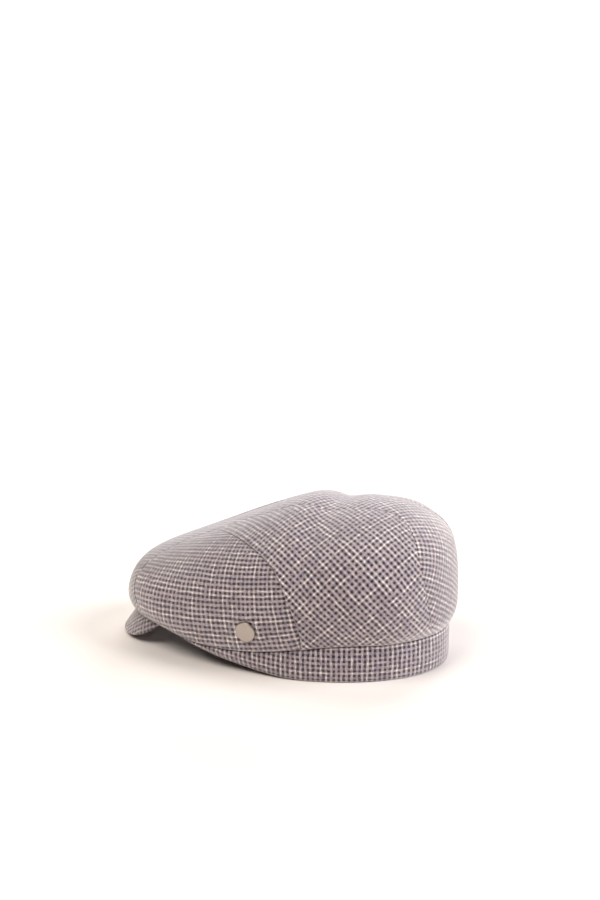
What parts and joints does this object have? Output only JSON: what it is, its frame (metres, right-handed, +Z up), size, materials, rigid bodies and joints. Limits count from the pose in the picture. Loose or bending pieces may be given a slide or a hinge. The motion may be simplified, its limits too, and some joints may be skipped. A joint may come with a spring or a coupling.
{
  "type": "driving cap",
  "caption": "Soft driving cap of small checked cloth, with a panelled crown sewn to a band round the open head hollow, a short stiff peak under the hem and a plain round stud on one side.",
  "frame": {"origin": "on the resting surface, under the middle of the cap's box", "axes": "+Z up, the peak points to -Y, the wearer's left is +X"},
  "size_m": [0.168, 0.2747, 0.1252],
  "materials": {
    "check_cloth": "small grey, cream and dark brown check with a faint light windowpane, matt wool look",
    "stud_metal": "warm light grey satin metal, bare face"
  },
  "bodies": {
    "root": {"centre_panel": "check_cloth", "side_panel_left": "check_cloth", "side_panel_right": "check_cloth", "rear_panel_left": "check_cloth", "rear_panel_right": "check_cloth", "band": "check_cloth", "peak": "check_cloth", "side_stud": "stud_metal"}
  },
  "joints": []
}
